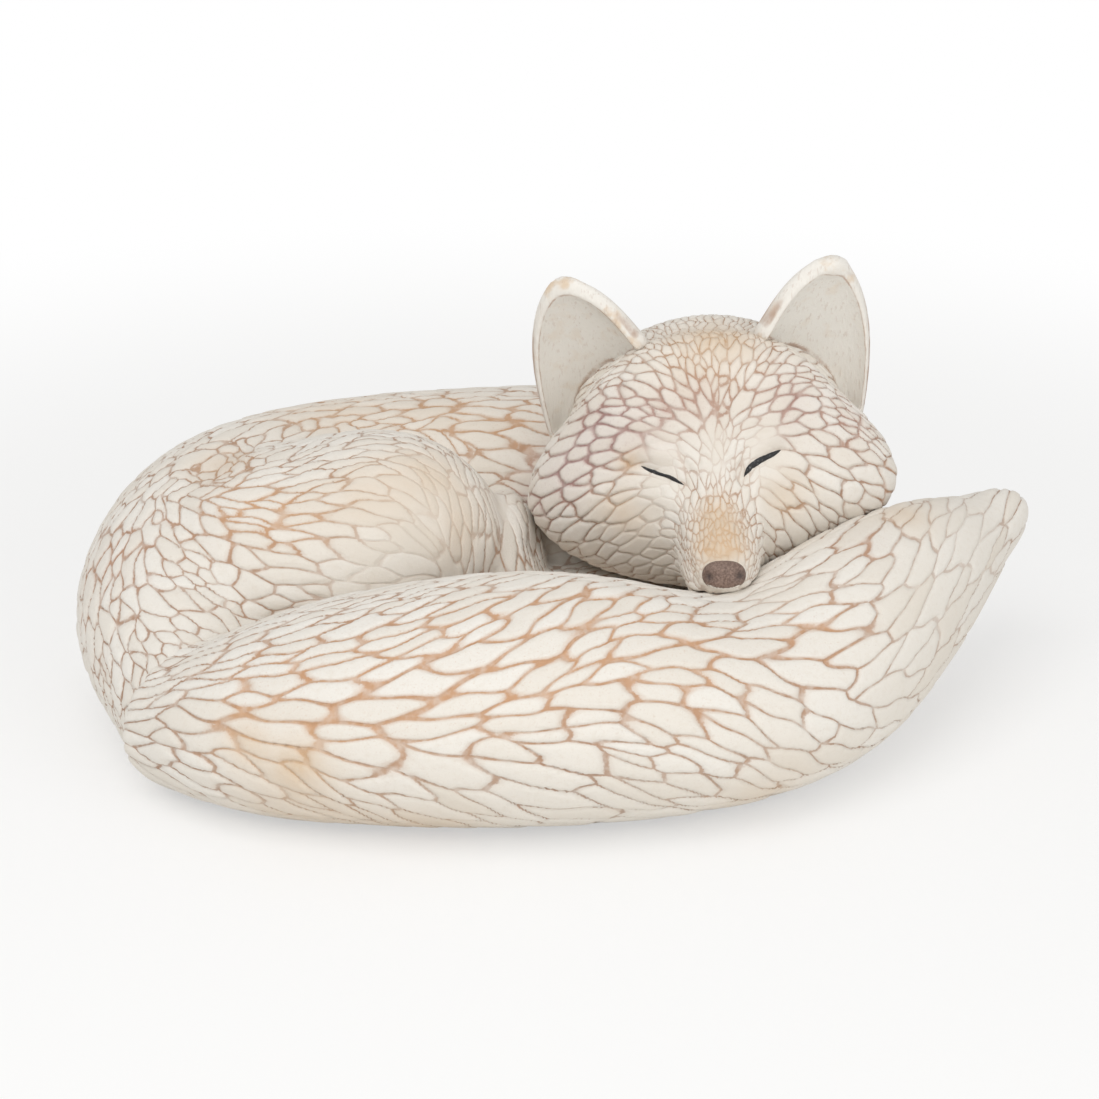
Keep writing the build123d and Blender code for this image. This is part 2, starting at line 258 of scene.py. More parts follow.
# Patches of the wash in the photo's pixels: place, radius, then how much rust, mauve and ochre
WASHES = [
    (250, 700, 70, 1.0, 0.0, 0.0),
    (350, 690, 75, 1.0, 0.0, 0.0),
    (450, 665, 80, 1.0, 0.0, 0.0),
    (540, 645, 80, 1.0, 0.0, 0.0),
    (620, 620, 60, 1.0, 0.0, 0.0),
    (700, 665, 80, 0.9, 0.0, 0.0),
    (820, 630, 60, 0.9, 0.0, 0.0),
    (240, 505, 50, 0.9, 0.0, 0.1),
    (300, 520, 45, 0.8, 0.0, 0.2),
    (330, 412, 70, 0.6, 0.0, 0.4),
    (450, 415, 70, 0.7, 0.0, 0.3),
    (530, 425, 50, 0.7, 0.0, 0.2),
    (225, 465, 35, 0.5, 0.2, 0.6),
    (110, 560, 60, 0.5, 0.2, 0.0),
    (430, 470, 40, 0.0, 0.0, 0.5),
    (370, 490, 45, 0.1, 0.0, 0.5),
    (460, 530, 35, 0.0, 0.0, 0.4),
    (600, 432, 45, 0.2, 1.0, 0.0),
    (560, 475, 35, 0.2, 1.0, 0.0),
    (535, 510, 25, 0.1, 0.8, 0.0),
    (650, 415, 35, 0.2, 0.8, 0.2),
    (700, 400, 30, 0.3, 0.7, 0.2),
    (790, 402, 45, 0.2, 0.8, 0.1),
    (855, 425, 35, 0.3, 0.6, 0.1),
    (890, 490, 30, 0.9, 0.2, 0.0),
    (865, 540, 35, 0.8, 0.2, 0.0),
    (712, 335, 50, 0.2, 0.0, 0.9),
    (722, 535, 30, 0.7, 0.0, 1.0),
    (716, 510, 22, 0.5, 0.0, 0.7),
    (622, 512, 28, 0.1, 0.0, 0.6),
    (785, 500, 28, 0.3, 0.0, 0.5),
    (905, 515, 28, 0.0, 0.0, 0.5),
    (630, 462, 12, 0.3, 0.0, 0.9),
    (720, 550, 20, 0.9, 0.0, 0.8),
    # The last seven rows tint the tail ochre low down at the left and along its lower edge, so that it is
    # darker towards the bottom
    (245, 742, 26, 0.0, 0.0, 0.6),
    (300, 766, 30, 0.0, 0.0, 0.8),
    (300, 812, 60, 0.0, 0.0, 0.5),
    (420, 826, 60, 0.0, 0.0, 0.6),
    (540, 828, 60, 0.0, 0.0, 0.6),
    (660, 820, 60, 0.0, 0.0, 0.5),
    (760, 795, 50, 0.0, 0.0, 0.4),
]

# Patches where the grooves fade or are missing: place and radius in pixels, then how faded and how bare
FADED = [
    (440, 490, 60, 0.8, 0.2),
    (410, 560, 50, 0.9, 0.1),
    (360, 590, 45, 0.9, 0.0),
    (503, 510, 28, 0.6, 1.0),
    (545, 545, 26, 0.5, 0.9),
    (980, 540, 75, 1.0, 0.0),
    (930, 600, 60, 0.8, 0.0),
    (900, 690, 55, 0.5, 0.0),
    (280, 800, 55, 0.5, 0.0),
    (450, 812, 50, 0.5, 0.0),
    (650, 800, 50, 0.5, 0.0),
    (780, 765, 40, 0.5, 0.0),
    (770, 590, 40, 0.8, 0.0),
    (715, 440, 18, 0.6, 0.5),
    (716, 468, 16, 0.6, 0.4),
    (662, 455, 24, 0.6, 0.9),
    (765, 443, 22, 0.6, 0.9),
    (662, 492, 24, 0.8, 0.5),
    (770, 475, 22, 0.8, 0.5),
    (650, 560, 40, 0.9, 0.0),
    (640, 530, 30, 0.6, 0.0),
    (724, 578, 26, 0.8, 1.0),
    (722, 530, 34, 0.35, 0.0),
]

# How squarely the skin faces the camera, or a patch's middle, where a form or a patch sets in and is whole
SHOWN_FACING = (0.0, 0.35)
PATCH_FACING = (-0.2, 0.4)


def photo_ray(x, y):
    """Camera's place and the direction from it through a pixel of the photo."""
    back = Vector(CAMERA_BACK)
    across = float(x - PHOTO_PIXELS / 2) * PIXEL_AT_A_METRE
    down = float(y - PHOTO_PIXELS / 2) * PIXEL_AT_A_METRE
    direction = -back + across * Vector(CAMERA_RIGHT) - down * Vector(CAMERA_UP)
    return CAMERA_TARGET + CAMERA_DISTANCE * back, direction.normalized()


def seen(tree, x, y):
    """Point and normal of a surface under a pixel of the photo, or None past its outline."""
    origin, direction = photo_ray(x, y)
    place, normal, _, _ = tree.ray_cast(origin, direction)
    if place is None:
        return None
    return np.array(place), np.array(normal)


def closest(tree, point):
    """Point and normal of a surface where it is nearest to a place in millimetres."""
    place, normal, _, _ = tree.find_nearest(Vector(point) * MM)
    return np.array(place), np.array(normal)


def photo_places(points):
    """Pixel of the photo that shows each point."""
    offset = points - np.array(CAMERA_TARGET) - CAMERA_DISTANCE * CAMERA_BACK
    scale = LENS * PHOTO_PIXELS / SENSOR / -(offset @ CAMERA_BACK)
    return np.stack([offset[:, 0] * scale, -(offset @ CAMERA_UP) * scale], 1) + PHOTO_PIXELS / 2


def line_distance(places, line):
    """Distance of each place to a line of points."""
    nearest = np.full(len(places), np.inf)
    for first, second in zip(np.array(line, float), np.array(line[1:], float)):
        ahead = second - first
        share = np.clip((places - first) @ ahead / (ahead @ ahead), 0, 1)
        nearest = np.minimum(nearest, np.linalg.norm(places - first - share[:, None] * ahead, axis=1))
    return nearest


def smooth_step(low, high, value):
    """Smooth rise from 0 at one value to 1 at another."""
    t = np.clip((value - low) / (high - low), 0, 1)
    return t * t * (3 - 2 * t)


def bell(distance):
    """1 at no distance, falling smoothly to nearly 0 at a distance of 2."""
    return np.exp(-(distance**2))


def sculpt(skin, swells, creases=()):
    """Raise and press the forms that were read off the photo, on the side that it shows."""
    places = photo_places(skin.points)
    normals = skin.normals()
    height = np.zeros(len(places))
    for x, y, half_width, half_height, lean, rise in swells:
        turn = math.radians(lean)
        offset = places - (x, y)
        along = (offset @ (math.cos(turn), math.sin(turn))) / half_width
        across = (offset @ (-math.sin(turn), math.cos(turn))) / half_height
        height += rise * MM * np.exp(-(along**2 + across**2))
    for half_width, depth, line in creases:
        height -= depth * MM * bell(line_distance(places, line) / half_width)
    shown = smooth_step(*SHOWN_FACING, normals @ CAMERA_BACK)
    skin.points = skin.points + (height * shown)[:, None] * normals


def even_out(skin, step, rounds):
    """Smooth a skin along a line of the photo."""
    half_width, line = step
    weight = bell(line_distance(photo_places(skin.points), line) / half_width)
    skin.points = skin.points + weight[:, None] * (skin.relaxed(rounds) - skin.points)


def merged_copy(node):
    """Editable copy of a CAD node's mesh with its loose triangles joined."""
    shape = bmesh.new()
    shape.from_mesh(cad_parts[node].data)
    bmesh.ops.remove_doubles(shape, verts=shape.verts, dist=MERGE_DISTANCE)
    return shape


def drop_inside(shape):
    """Leave the hollow out of the body's copy and make the plate's recess a closed pocket."""
    low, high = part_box("base_plate")
    middle = (low + high) / 2
    half = (high - low) / 2
    wall = []
    for face in shape.faces:
        spans = [math.hypot((v.co.x - middle.x) / half.x, (v.co.y - middle.y) / half.y) for v in face.verts]
        low_enough = max(v.co.z for v in face.verts) < high.z + WALL_TOP_SLACK
        at_wall = min(spans) > WALL_INNER_SHARE and max(spans) < WALL_OUTER_SHARE
        if low_enough and at_wall and abs(face.normal.z) < WALL_LEAN_LIMIT:
            wall.append(face)
    bmesh.ops.delete(shape, geom=wall, context="FACES")
    start = max(shape.verts, key=lambda v: v.co.z)
    outside = {start}
    waiting = [start]
    while waiting:
        for edge in waiting.pop().link_edges:
            for vertex in edge.verts:
                if vertex not in outside:
                    outside.add(vertex)
                    waiting.append(vertex)
    bmesh.ops.delete(shape, geom=[v for v in shape.verts if v not in outside], context="VERTS")
    rim = [e for e in shape.edges if e.is_boundary]
    raised = bmesh.ops.extrude_edge_only(shape, edges=rim)["geom"]
    raised_points = [v for v in raised if isinstance(v, bmesh.types.BMVert)]
    bmesh.ops.translate(shape, verts=raised_points, vec=(0.0, 0.0, RECESS_DEPTH))
    bmesh.ops.holes_fill(shape, edges=[e for e in shape.edges if e.is_boundary])


def run_into_rump(shape):
    """Let the tail's skin run on a little past the joint, so that no gap shows there."""
    for vertex in shape.verts:
        offset = vertex.co - JOINT_CENTRE
        if abs(offset.dot(JOINT_AHEAD)) < JOINT_REACH and offset.length < JOINT_SPAN:
            vertex.co -= JOINT_OVERLAP * JOINT_AHEAD


class Skin:
    """Even mesh over one casting, as arrays that are sculpted before they go back to the mesh."""

    def __init__(self, name, shape, spacing, rounds):
        bmesh.ops.triangulate(shape, faces=shape.faces)
        rough = bpy.data.meshes.new(name)
        shape.to_mesh(rough)
        shape.free()
        self.piece = bpy.data.objects.new(name, rough)
        bpy.context.scene.collection.objects.link(self.piece)
        remesh = self.piece.modifiers.new("even", "REMESH")
        remesh.mode = "VOXEL"
        remesh.voxel_size = spacing
        graph = bpy.context.evaluated_depsgraph_get()
        self.mesh = bpy.data.meshes.new_from_object(self.piece.evaluated_get(graph))
        self.piece.modifiers.clear()
        self.piece.data = self.mesh
        bpy.data.meshes.remove(rough)
        self.mesh.name = name
        self.points = self.read(self.mesh.vertices, "co", 3)
        self.edges = self.read(self.mesh.edges, "vertices", 2).astype(int)
        self.corners = self.read(self.mesh.polygons, "vertices", 4).astype(int)
        self.points = self.relaxed(rounds)

    @staticmethod
    def read(items, name, width):
        """One property of all the mesh's points, edges or faces, a row for each."""
        kind = np.int32 if name == "vertices" else np.float32
        flat = np.zeros(len(items) * width, kind)
        items.foreach_get(name, flat)
        return flat.reshape(-1, width).astype(float)

    def relaxed(self, rounds):
        """Points drawn towards the mean of their neighbours."""
        count = len(self.points)
        first, second = self.edges.T
        neighbours = np.bincount(self.edges.ravel(), minlength=count)[:, None]
        points = self.points.copy()
        for _ in range(rounds):
            total = np.zeros_like(points)
            for axis in range(3):
                total[:, axis] += np.bincount(first, points[second, axis], count)
                total[:, axis] += np.bincount(second, points[first, axis], count)
            points += SMOOTHING_SHARE * (total / neighbours - points)
        return points

    def face_normals(self):
        """Normal of each face, twice as long as the face is large."""
        a, b, c, d = (self.points[self.corners[:, i]] for i in range(4))
        return np.cross(c - a, d - b)

    def normals(self):
        """Unit normal at each point."""
        faces = self.face_normals()
        total = np.zeros_like(self.points)
        for corner in self.corners.T:
            for axis in range(3):
                total[:, axis] += np.bincount(corner, faces[:, axis], len(total))
        return total / np.maximum(np.linalg.norm(total, axis=1, keepdims=True), TINY)

    def areas(self):
        """Area round each point."""
        faces = np.linalg.norm(self.face_normals(), axis=1) / 2
        return sum(np.bincount(corner, faces / 4, len(self.points)) for corner in self.corners.T)

    def tree(self):
        """Surface that rays and nearest points can be looked up on."""
        return BVHTree.FromPolygons(self.points.tolist(), self.corners.tolist())

    def store(self):
        """Write the sculpted points back to the mesh."""
        self.mesh.vertices.foreach_set("co", self.points.astype(np.float32).ravel())
        self.mesh.update()
        self.mesh.shade_smooth()


# Size of the tufts in shares of the stroke's, how far round a stroke its direction counts in full, and how
# much a stroke counts where the skin faces away from it
LENGTH_SHARE = 1.35
WIDTH_SHARE = 0.86
GUIDE_BLUR = 4.0 * MM
GUIDE_LEAST = 0.02

# Slow waves that bend the carved lines: how far they move a point, and their lengths, in half widths of
# a tuft
SWAY_SHARE = 0.13
SWAY_WAVES = (4.4, 7.5)
SWAY_SEED = 5

# Shape of a tuft: how blunt its root is, how much counts what a point lies off its plane, and how many tufts
# are measured round a point
ROOT_BLUNTNESS = 0.45
OFF_PLANE_SHARE = 0.5
CANDIDATES = 20

# Spread of the tufts: points of the skin that may hold one, rounds, area of a tuft's patch in half lengths
# times half widths, and how much the sizes vary
RANDOM_SEED = 11
SAMPLE_POINTS = 17000
SPREAD_ROUNDS = 14
PATCH_AREA_SHARE = 2.8
SIZE_SPREAD = 0.13

# Relief of a tuft in shares of its half width: how high its middle is over its edge, how far in from the
# edge it rises and how fully, where along it the tip stands up, how far from the edge, and how much on each
# casting
RELIEF_SHARE = 0.27
PILLOW_REACH = 0.9
PILLOW_FULLNESS = 2.6
TIP_ALONG = (-0.6, 0.8)
TIP_GAP = (0.0, 0.25)
BODY_TIP_SHARE = 0.3
TAIL_TIP_SHARE = 0.3
HEAD_TIP_SHARE = 0.7

# Share of the relief that lies at the casting's own surface, and the shares that faded and bare patches lose
SURFACE_LEVEL = 0.8
FADED_LOSS = 0.55
BARE_LOSS = 0.85


def guides(tree, strokes, hidden):
    """Place, normal, direction and tuft size wherever a stroke of the fur crosses the skin."""
    drawn = [(length, width, [seen(tree, x, y) for x, y in line]) for length, width, line in strokes]
    drawn += [(length, width, [closest(tree, point) for point in line]) for length, width, line in hidden]
    rows = []
    for length, width, hits in drawn:
        for here, there in zip(hits, hits[1:]):
            if here is None or there is None:
                continue
            ahead = there[0] - here[0]
            for place, normal in (here, there):
                rows.append((place, normal, ahead, (LENGTH_SHARE * length, WIDTH_SHARE * width)))
    places, normals, ahead, sizes = (np.array(column) for column in zip(*rows))
    ahead /= np.linalg.norm(ahead, axis=1, keepdims=True)
    return places, normals, ahead, sizes * MM / 2


def flow(points, normals, guide):
    """Direction of the fur along the surface and half length and half width of a tuft, at each point."""
    guide_places, guide_normals, guide_ahead, guide_sizes = guide
    squared = ((points[:, None] - guide_places[None]) ** 2).sum(2) + GUIDE_BLUR**2
    facing = np.clip(normals @ guide_normals.T, 0, 1) + GUIDE_LEAST
    weight = facing / squared**2
    weight /= weight.sum(1, keepdims=True)
    ahead = weight @ guide_ahead
    ahead -= (ahead * normals).sum(1, keepdims=True) * normals
    ahead /= np.maximum(np.linalg.norm(ahead, axis=1, keepdims=True), TINY)
    return ahead, weight @ guide_sizes


def swayed(points, half_width):
    """Points moved a little by slow waves, so that the carved lines bend like ones cut by hand."""
    rng = np.random.default_rng(SWAY_SEED)
    moved = points.copy()
    for wave in SWAY_WAVES:
        for axis in range(3):
            heading = rng.standard_normal(3)
            heading *= math.tau / (wave * half_width * np.linalg.norm(heading))
            phase = rng.random() * math.tau
            moved[:, axis] += SWAY_SHARE * half_width * np.sin(points @ heading + phase)
    return moved


def finder_of(places):
    """Search tree over places."""
    finder = KDTree(len(places))
    for index, place in enumerate(places):
        finder.insert(place, index)
    finder.balance()
    return finder


class Tufts:
    """Centres of the tufts, each with its own direction and size."""

    def __init__(self, places, normals, ahead, sizes):
        self.places = places
        self.normals = normals
        self.ahead = ahead
        self.sizes = sizes
        self.side = np.cross(normals, ahead)
        self.mean_half = sizes[:, 1].mean()
        self.finder = finder_of(places)

    def measure(self, points, chosen):
        """How far out each point is in each chosen tuft: 0 at its centre, about 1 at its tips and sides."""
        offset = swayed(points, self.mean_half)[:, None, :] - self.places[chosen]
        along = (offset * self.ahead[chosen]).sum(2) / self.sizes[chosen, 0]
        across = np.abs((offset * self.side[chosen]).sum(2)) / self.sizes[chosen, 1]
        off = (offset * self.normals[chosen]).sum(2) / self.sizes[chosen, 1]
        pointed = (across + np.sqrt(across**2 + 4 * along**2)) / 2
        blunt = ROOT_BLUNTNESS * np.hypot(along, across) + (1 - ROOT_BLUNTNESS) * pointed
        return np.hypot(np.where(along > 0, pointed, blunt), OFF_PLANE_SHARE * off), along

    def nearest(self, points, keep):
        """The closest tufts to each point, how far out it is in each and how far along."""
        chosen = np.array([[hit[1] for hit in self.finder.find_n(point, CANDIDATES)] for point in points])
        distance, along = self.measure(points, chosen)
        order = np.argsort(distance, axis=1)[:, :keep]
        return [np.take_along_axis(values, order, 1) for values in (chosen, distance, along)]


def spread_tufts(skin, guide, rng):
    """Tufts spread evenly over the skin, each moved to the middle of its own patch a few times."""
    areas = skin.areas()
    picked = rng.choice(len(skin.points), SAMPLE_POINTS, replace=False)
    sample = skin.points[picked]
    normals = skin.normals()[picked]
    ahead, sizes = flow(sample, normals, guide)
    sizes *= np.exp(SIZE_SPREAD * rng.standard_normal((len(sizes), 1)))
    crowding = areas[picked] / (sizes[:, 0] * sizes[:, 1] * PATCH_AREA_SHARE)
    count = int(crowding.sum() * areas.sum() / areas[picked].sum())
    spots = rng.choice(len(sample), count, replace=False, p=crowding / crowding.sum())
    finder = finder_of(sample)
    for _ in range(SPREAD_ROUNDS):
        tufts = Tufts(sample[spots], normals[spots], ahead[spots], sizes[spots])
        own = tufts.nearest(sample, 1)[0][:, 0]
        held = np.bincount(own, minlength=count)
        total = np.stack([np.bincount(own, sample[:, axis], count) for axis in range(3)], 1)
        middle = total / np.maximum(held, 1)[:, None]
        moved = np.array([finder.find(place)[1] for place in middle])
        spots = np.unique(np.where(held > 0, moved, spots))
        count = len(spots)
    return Tufts(sample[spots], normals[spots], ahead[spots], sizes[spots])


def write_attribute(mesh, domain, name, values):
    """Keep three numbers for each point or face corner on a mesh, where its paint reads them."""
    layer = mesh.attributes.new(name, "FLOAT_VECTOR", domain)
    layer.data.foreach_set("vector", values.astype(np.float32).ravel())


def carve(skin, tufts, tones, faded, bare, tip_share):
    """Raise the tufts on a skin and keep what its paint needs at each face's corners."""
    chosen, distance, along = tufts.nearest(skin.points, 2)
    gap = distance[:, 1] - distance[:, 0]
    half_width = tufts.sizes[chosen[:, 0], 1]
    pillow = 1 - (1 - np.clip(gap / PILLOW_REACH, 0, 1)) ** PILLOW_FULLNESS
    tip = tip_share * smooth_step(*TIP_ALONG, along[:, 0]) * smooth_step(*TIP_GAP, gap)
    height = RELIEF_SHARE * half_width * (pillow + tip - SURFACE_LEVEL)
    height = height * (1 - FADED_LOSS * faded) * (1 - BARE_LOSS * bare)
    middles = skin.points[skin.corners].mean(1)
    trio = np.repeat(tufts.nearest(middles, 3)[0], 4, axis=0)
    near, _ = tufts.measure(skin.points[skin.corners.ravel()], trio)
    write_attribute(skin.mesh, "CORNER", "tuft_near", near)
    write_attribute(skin.mesh, "CORNER", "tuft_tone", tones[trio])
    write_attribute(skin.mesh, "POINT", "cover", np.stack([faded, bare, half_width / MM], 1))
    skin.points = skin.points + height[:, None] * skin.normals()


def patches(skin, tree, rows):
    """How strongly the patches read off the photo cover each point of a skin, for each of their shares."""
    normals = skin.normals()
    cover = []
    for x, y, radius, *_ in rows:
        hit = seen(tree, x, y)
        if hit is None:
            cover.append(np.zeros(len(skin.points)))
            continue
        distance = np.linalg.norm(skin.points - hit[0], axis=1) / (radius * PIXEL)
        cover.append(bell(distance) * smooth_step(*PATCH_FACING, normals @ hit[1]))
    shares = np.array([row[3:] for row in rows])
    return np.clip((np.array(cover)[:, :, None] * shares[:, None, :]).sum(0), 0, 1)


def grow_fur(skin, strokes, hidden, tip_share, rng):
    """Carve a skin's tufts along the strokes and give its surface as it was before."""
    surface = skin.tree()
    tufts = spread_tufts(skin, guides(surface, strokes, hidden), rng)
    write_attribute(skin.mesh, "POINT", "wash", patches(skin, surface, WASHES))
    faded, bare = patches(skin, surface, FADED).T
    carve(skin, tufts, rng.random(len(tufts.places)), faded, bare, tip_share)
    return surface


class Term:
    """Output of a shader node that adds, multiplies and compares like a number."""

    def __init__(self, tree, socket):
        self.tree = tree
        self.socket = socket

    def __add__(self, other):
        return self.tree.math("ADD", self, other)

    def __radd__(self, other):
        return self.tree.math("ADD", other, self)

    def __sub__(self, other):
        return self.tree.math("SUBTRACT", self, other)

    def __rsub__(self, other):
        return self.tree.math("SUBTRACT", other, self)

    def __mul__(self, other):
        return self.tree.math("MULTIPLY", self, other)

    def __rmul__(self, other):
        return self.tree.math("MULTIPLY", other, self)

    def __truediv__(self, other):
        return self.tree.math("DIVIDE", self, other)

    def least(self, other):
        """The smaller of the two."""
        return self.tree.math("MINIMUM", self, other)

    def most(self, other):
        """The larger of the two."""
        return self.tree.math("MAXIMUM", self, other)

    def below(self, other):
        """1 where this is the smaller of the two, otherwise 0."""
        return self.tree.math("LESS_THAN", self, other)

    def held(self):
        """Kept between 0 and 1."""
        return self.least(1.0).most(0.0)

    def scaled(self, start_and_growth):
        """The first number of a pair, plus the second times this."""
        start, growth = start_and_growth
        return start + growth * self


class Tree:
    """Node tree of a material or of the world."""

    def __init__(self, holder):
        holder.use_nodes = True
        self.holder = holder
        self.tree = holder.node_tree
        self.tree.nodes.clear()

    def add(self, kind, settings, inputs):
        """New node: its settings, then the values or links of its inputs."""
        node = self.tree.nodes.new(kind)
        for key, value in settings.items():
            setattr(node, key, value)
        for key, value in inputs.items():
            if isinstance(value, Term):
                self.tree.links.new(value.socket, node.inputs[key])
            else:
                node.inputs[key].default_value = value
        return node

    def value(self, kind, settings, inputs, output=0):
        """First or named output of a new node."""
        return Term(self, self.add(kind, settings, inputs).outputs[output])

    def math(self, operation, *values):
        """Result of a Math node."""
        return self.value("ShaderNodeMath", {"operation": operation}, dict(enumerate(values)))

    def step(self, span, value):
        """Smooth rise from 0 at the span's first number to 1 at its second."""
        inputs = {"Value": value, "From Min": span[0], "From Max": span[1]}
        return self.value("ShaderNodeMapRange", {"interpolation_type": "SMOOTHSTEP"}, inputs)

    def mix(self, factor, first, second):
        """Two colours mixed."""
        return self.value("ShaderNodeMix", {"data_type": "RGBA"}, {0: factor, 6: first, 7: second}, 2)

    def attribute(self, name):
        """Three numbers kept on the mesh under a name."""
        vector = self.value("ShaderNodeAttribute", {"attribute_name": name}, {}, "Vector")
        parts = self.add("ShaderNodeSeparateXYZ", {}, {0: vector})
        return [Term(self, output) for output in parts.outputs]

    def place(self):
        """Place on the object."""
        return self.value("ShaderNodeTexCoord", {}, {}, "Object")

    def camera_ray(self):
        """1 for what the camera sees directly, otherwise 0."""
        return self.value("ShaderNodeLightPath", {}, {}, "Is Camera Ray")

    def noise(self, spots, stretch=(1.0, 1.0, 1.0)):
        """Noise from the size of its spots in metres, its detail and its roughness.

        The spots are longer along an axis where the stretch is below 1.
        """
        size, detail, roughness = spots
        drawn = self.value("ShaderNodeVectorMath", {"operation": "MULTIPLY"}, {0: self.place(), 1: stretch})
        inputs = {"Vector": drawn, "Scale": 1 / size, "Detail": detail, "Roughness": roughness}
        return self.value("ShaderNodeTexNoise", {}, inputs)

    def surface(self, colour, roughness, height, depth):
        """Finish a material with its main shader and its bump."""
        bump = self.value("ShaderNodeBump", {}, {"Height": height, "Distance": depth, "Strength": 1.0})
        inputs = {"Base Color": colour, "Roughness": roughness, "Normal": bump}
        shader = self.value("ShaderNodeBsdfPrincipled", {}, inputs)
        self.add("ShaderNodeOutputMaterial", {}, {0: shader})
        return self.holder


def paint_tree(name):
    """Node tree of a new material."""
    return Tree(bpy.data.materials.new(name))


# Colours of the paints
CREAM = (0.82, 0.785, 0.725, 1.0)
WARM_CREAM = (0.71, 0.64, 0.545, 1.0)
BROWN = (0.42, 0.27, 0.19, 1.0)
RUST = (0.58, 0.335, 0.19, 1.0)
MAUVE = (0.40, 0.245, 0.225, 1.0)
OCHRE = (0.64, 0.44, 0.25, 1.0)
EAR_GREY = (0.76, 0.735, 0.68, 1.0)
NOSE_DARK = (0.14, 0.088, 0.07, 1.0)
NOSE_LIGHT = (0.29, 0.2, 0.155, 1.0)
NOSTRIL_DARK = (0.03, 0.02, 0.02, 1.0)
LINE_BLACK = (0.012, 0.012, 0.014, 1.0)
# Grey of the eye lines' worn paint and painted highlight
LINE_WORN_AND_HIGHLIGHT = (0.12, 0.12, 0.12, 1.0)
RUBBER_BLACK = (0.03, 0.03, 0.03, 1.0)
RESIN_BEIGE = (0.62, 0.58, 0.5, 1.0)
STEEL_GREY = (0.5, 0.5, 0.5, 1.0)
FLOOR_PALE = (0.92, 0.915, 0.9, 1.0)
WHITE = (1.0, 1.0, 1.0, 1.0)

# Mean of a noise, which is taken off it where it moves an edge both ways
NOISE_MEAN = 0.5

# Noises of the fur's paint: size of the spots, detail and roughness
FUR_GRAIN = (0.55 * MM, 3.0, 0.7)
FUR_CLOUD = (8 * MM, 3.0, 0.6)
FUR_DRIFT = (3.2 * MM, 2.0, 0.5)
FUR_DUST = (1.7 * MM, 3.0, 0.6)

# Width of the painted lines in millimetres, with its shares of a tuft's half width: everywhere, where the
# wash pools at a tuft's end, and where the wash is strong, then how many line widths the halo takes up
LINE_WIDTH = 0.24
LINE_WIDTH_SHARE = 0.08
POOL_WIDTH_SHARE = 0.26
WASH_WIDTH_SHARE = 0.12
HALO_WIDTHS = 2.6

# Spans over which the parts of the paint fade
DRIFT_SPAN = (0.3, 0.62)
POOL_SPAN = (0.86, 1.25)
LINE_SPAN = (0.35, 1.0)
HALO_SPAN = (0.0, 1.0)
DUST_SPAN = (0.45, 0.75)
SPECKLE_SPAN = (0.57, 0.7)
GROOVE_SPAN = (0.0, 1.2)

# Strengths of the paint that grow with the wash, the cloud or the drift: at none, and what is added at most
RAGGED_BY_WASH = (0.45, 0.75)
STRENGTH_BY_CLOUD = (0.5, 0.6)
OCHRE_BY_CLOUD = (0.3, 0.6)
MAUVE_BY_CLOUD = (0.02, 0.3)
SPECKLE_BY_WASH = (0.12, 0.26)
HALO_BY_WASH = (0.18, 0.4)
LINE_BY_DRIFT = (0.45, 0.75)

# Plain strengths of the paint
POOL_RAGGED = 0.35
FADED_PAINT_LOSS = 0.8
RUST_SHARE = 0.9
OCHRE_SHARE = 0.6
TONE_SHARE = 0.45
FADED_TONE_SHARE = 0.25
DUST_SHARE = 0.3
GROOVE_HEIGHT = 0.5
GRAIN_HEIGHT = 0.26
FUR_ROUGHNESS = 0.85
FUR_BUMP = 0.4 * MM


